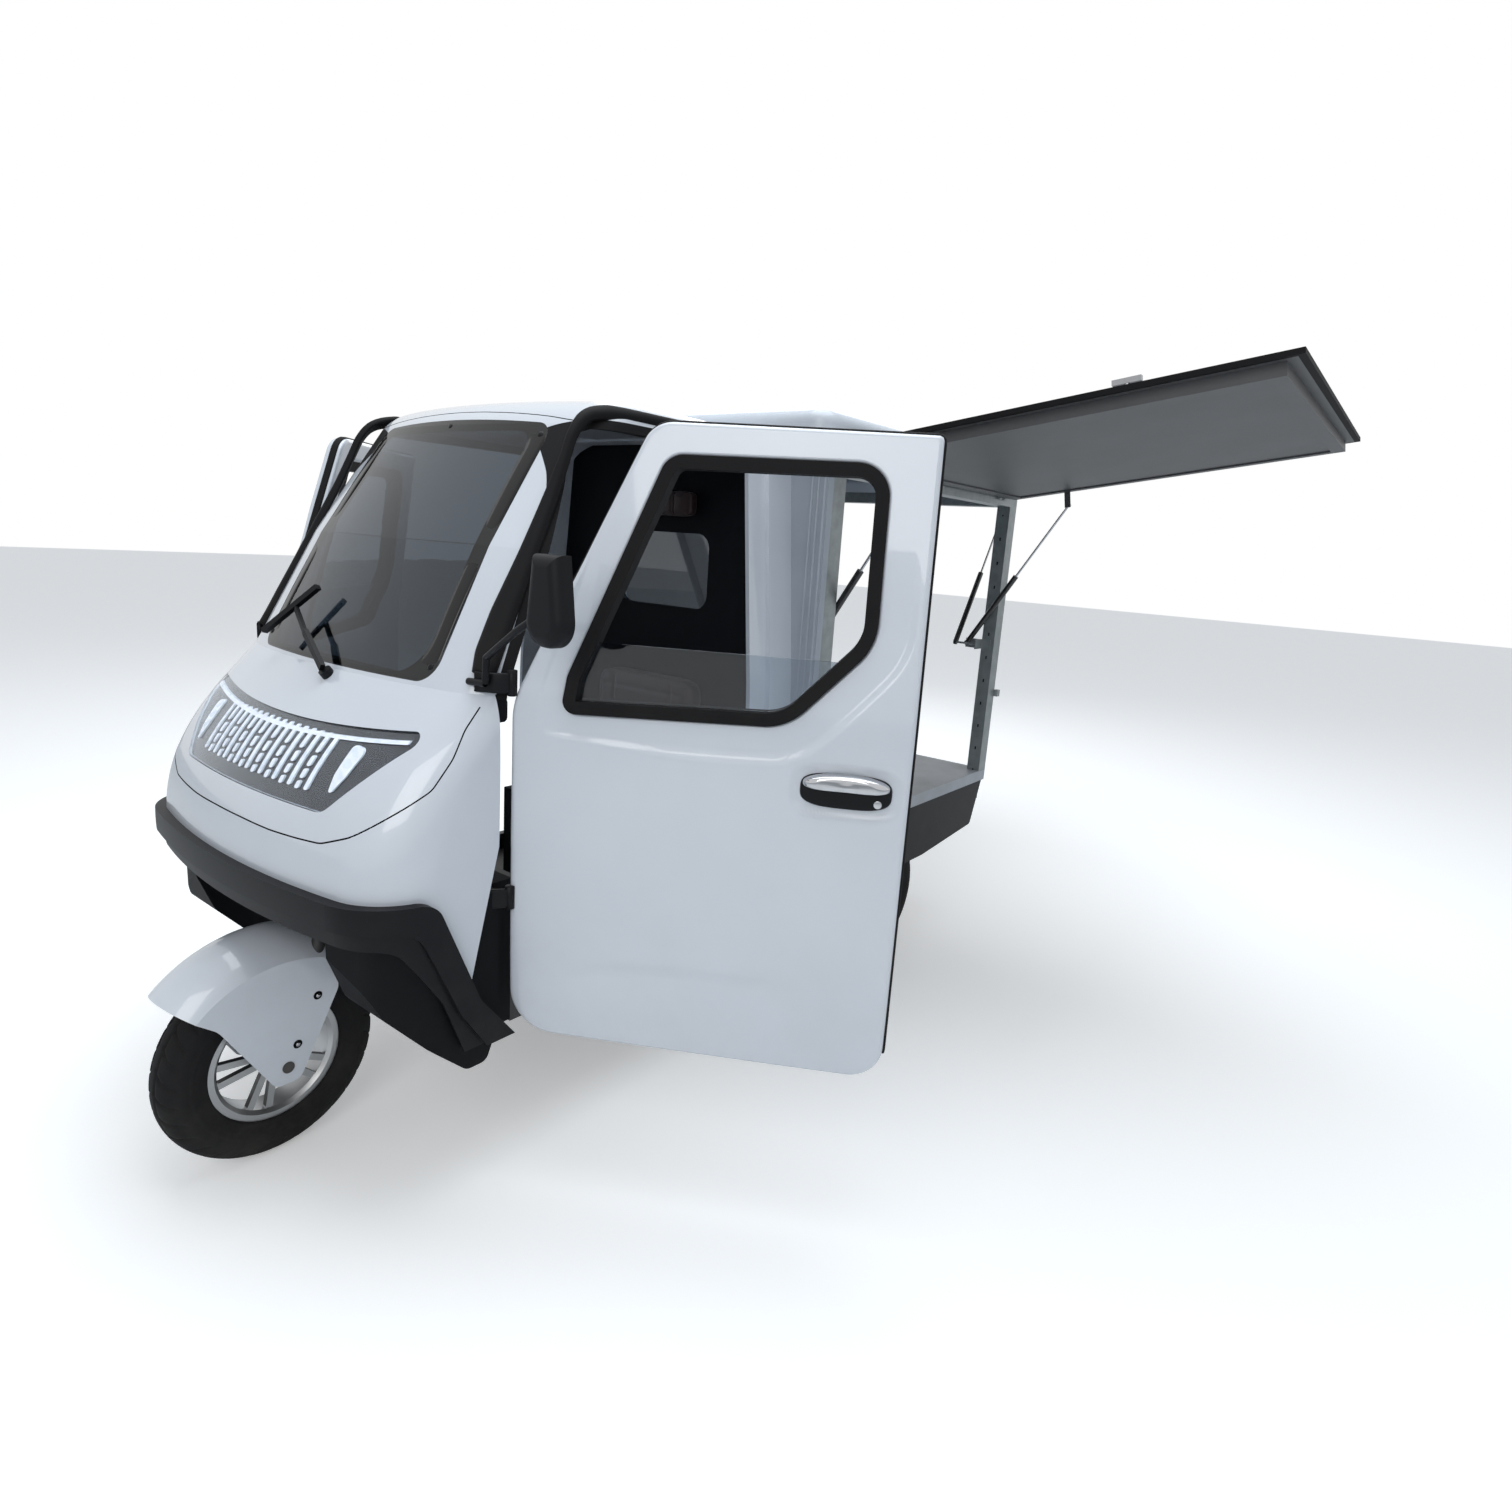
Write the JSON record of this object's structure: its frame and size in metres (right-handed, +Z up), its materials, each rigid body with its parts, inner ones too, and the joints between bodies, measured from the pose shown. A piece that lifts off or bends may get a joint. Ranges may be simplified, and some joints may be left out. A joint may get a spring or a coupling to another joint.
{
  "type": "electric cargo tricycle",
  "caption": "Closed-cab electric cargo tricycle with side doors that swing out and an open-frame cargo box with lift-up side flaps and a rear hatch on gas struts.",
  "frame": {"origin": "centre of the cargo floor's top face", "axes": "+X forward, +Y to the vehicle's left, +Z up"},
  "size_m": [3.8382, 2.6208, 1.8621],
  "materials": {
    "body_white": "gloss",
    "door_white": "gloss",
    "roof_white": "satin",
    "panel_grey": "satin",
    "floor_grey": "satin",
    "frame_galvanised": "satin",
    "chassis_black": "satin",
    "axle_steel": "satin",
    "plastic_black": "matte",
    "trim_black": "satin",
    "cabin_navy": "matte",
    "seal_rubber": "matte",
    "tyre_rubber": "matte",
    "rim_silver": "satin",
    "seat_leather": "satin",
    "glass_dark": "gloss",
    "lamp_black": "gloss",
    "lamp_white": "gloss",
    "lamp_clear": "gloss",
    "latch_steel": "satin",
    "lamp_red": "gloss",
    "handle_chrome": "gloss",
    "strut_black": "gloss",
    "rod_chrome": "gloss"
  },
  "bodies": {
    "chassis": {"chassis_frame": "chassis_black", "rear_axle": "axle_steel", "battery_pack": "plastic_black", "cargo_floor": "floor_grey", "cargo_frame": "frame_galvanised", "cargo_front_wall": "panel_grey", "cargo_roof": "roof_white", "rear_skirts": "trim_black", "tail_lamps": "lamp_red", "cab_floor": "chassis_black", "cab_nose": "body_white", "front_liner": "plastic_black", "bumper_trim": "trim_black", "lamp_panel": "lamp_black", "headlamps": "lamp_white", "lamp_cover": "lamp_clear", "cab_shell": "body_white", "windscreen": "glass_dark", "rear_window": "glass_dark", "cab_rear_wall": "cabin_navy", "door_seals": "seal_rubber", "dashboard": "cabin_navy", "seat_base": "cabin_navy", "seat_cushion": "seat_leather", "seat_back": "seat_leather", "head_pad": "seat_leather", "wiper": "trim_black", "mirror": "trim_black"},
    "steering": {"steering_fork": "chassis_black", "handlebar": "trim_black", "front_fender": "body_white"},
    "front_wheel": {"front_tyre": "tyre_rubber", "front_rim": "rim_silver"},
    "rear_left_wheel": {"rear_left_tyre": "tyre_rubber", "rear_left_rim": "rim_silver"},
    "rear_right_wheel": {"rear_right_tyre": "tyre_rubber", "rear_right_rim": "rim_silver"},
    "door_left": {"door_left_shell": "door_white", "door_left_seal": "seal_rubber", "door_left_glass": "glass_dark", "door_left_handle": "handle_chrome"},
    "door_right": {"door_right_shell": "door_white", "door_right_seal": "seal_rubber", "door_right_glass": "glass_dark", "door_right_handle": "handle_chrome"},
    "flap_left": {"flap_left_panel": "panel_grey", "flap_left_edge": "seal_rubber", "flap_left_latches": "latch_steel"},
    "flap_left_tubes": {"flap_left_strut_tubes": "strut_black"},
    "flap_left_rods": {"flap_left_strut_rods": "rod_chrome"},
    "flap_right": {"flap_right_panel": "panel_grey", "flap_right_edge": "seal_rubber", "flap_right_latches": "latch_steel"},
    "flap_right_tubes": {"flap_right_strut_tubes": "strut_black"},
    "flap_right_rods": {"flap_right_strut_rods": "rod_chrome"},
    "hatch": {"hatch_panel": "panel_grey", "hatch_edge": "seal_rubber", "hatch_latches": "latch_steel"},
    "hatch_tubes": {"hatch_strut_tubes": "strut_black"},
    "hatch_rods": {"hatch_strut_rods": "rod_chrome"}
  },
  "joints": [
    {"name": "steering", "type": "hinge", "parent": "chassis", "child": "steering", "pos_m": [1.8532, 0, -0.371], "axis": [-0.309, 0, 0.9511], "range_deg": [-35, 35]},
    {"name": "front_wheel_spin", "type": "hinge", "parent": "steering", "child": "front_wheel", "pos_m": [1.89, 0, -0.371], "axis": [0, 1, 0], "continuous": true},
    {"name": "rear_left_wheel_spin", "type": "hinge", "parent": "chassis", "child": "rear_left_wheel", "pos_m": [0, 0.465, -0.371], "axis": [0, 1, 0], "continuous": true},
    {"name": "rear_right_wheel_spin", "type": "hinge", "parent": "chassis", "child": "rear_right_wheel", "pos_m": [0, -0.465, -0.371], "axis": [0, 1, 0], "continuous": true},
    {"name": "door_left_hinge", "type": "hinge", "parent": "chassis", "child": "door_left", "pos_m": [1.62, 0.5, 0.4], "axis": [0, 0, -1], "range_deg": [-60.6, 9.4]},
    {"name": "door_right_hinge", "type": "hinge", "parent": "chassis", "child": "door_right", "pos_m": [1.62, -0.5, 0.4], "axis": [0, 0, 1], "range_deg": [-38, 32]},
    {"name": "flap_left_hinge", "type": "hinge", "parent": "chassis", "child": "flap_left", "pos_m": [0.0225, 0.575, 1.042], "axis": [1, 0, 0], "range_deg": [-99.3, 0]},
    {"name": "flap_left_strut_tilt", "type": "hinge", "parent": "chassis", "child": "flap_left_tubes", "pos_m": [0.0225, 0.465, 0.5], "axis": [-1, 0, 0], "range_deg": [-20.88, 0]},
    {"name": "flap_left_strut_slide", "type": "slide", "parent": "flap_left_tubes", "child": "flap_left_rods", "axis": [0, 0.5249, 0.8511], "range_m": [-0.2926, 0]},
    {"name": "flap_right_hinge", "type": "hinge", "parent": "chassis", "child": "flap_right", "pos_m": [0.0225, -0.575, 1.042], "axis": [-1, 0, 0], "range_deg": [0, 99.3]},
    {"name": "flap_right_strut_tilt", "type": "hinge", "parent": "chassis", "child": "flap_right_tubes", "pos_m": [0.0225, -0.465, 0.5], "axis": [1, 0, 0], "range_deg": [0, 20.88]},
    {"name": "flap_right_strut_slide", "type": "slide", "parent": "flap_right_tubes", "child": "flap_right_rods", "axis": [0, -0.1874, 0.9823], "range_m": [0, 0.2926]},
    {"name": "hatch_hinge", "type": "hinge", "parent": "chassis", "child": "hatch", "pos_m": [-0.656, 0, 1.042], "axis": [0, 1, 0], "range_deg": [-99.3, 0]},
    {"name": "hatch_strut_tilt", "type": "hinge", "parent": "chassis", "child": "hatch_tubes", "pos_m": [-0.546, 0, 0.5], "axis": [0, -1, 0], "range_deg": [-20.88, 0]},
    {"name": "hatch_strut_slide", "type": "slide", "parent": "hatch_tubes", "child": "hatch_rods", "axis": [-0.5249, 0, 0.8511], "range_m": [-0.2926, 0]}
  ],
  "couplings": [
    {"joint": "flap_left_strut_tilt", "follows": "flap_left_hinge", "ratio": 0.21012},
    {"joint": "flap_left_strut_slide", "follows": "flap_left_hinge", "m_per_rad": 0.1688},
    {"joint": "flap_right_strut_tilt", "follows": "flap_right_hinge", "ratio": 0.21012},
    {"joint": "flap_right_strut_slide", "follows": "flap_right_hinge", "m_per_rad": 0.1688},
    {"joint": "hatch_strut_tilt", "follows": "hatch_hinge", "ratio": 0.21012},
    {"joint": "hatch_strut_slide", "follows": "hatch_hinge", "m_per_rad": 0.1688}
  ]
}
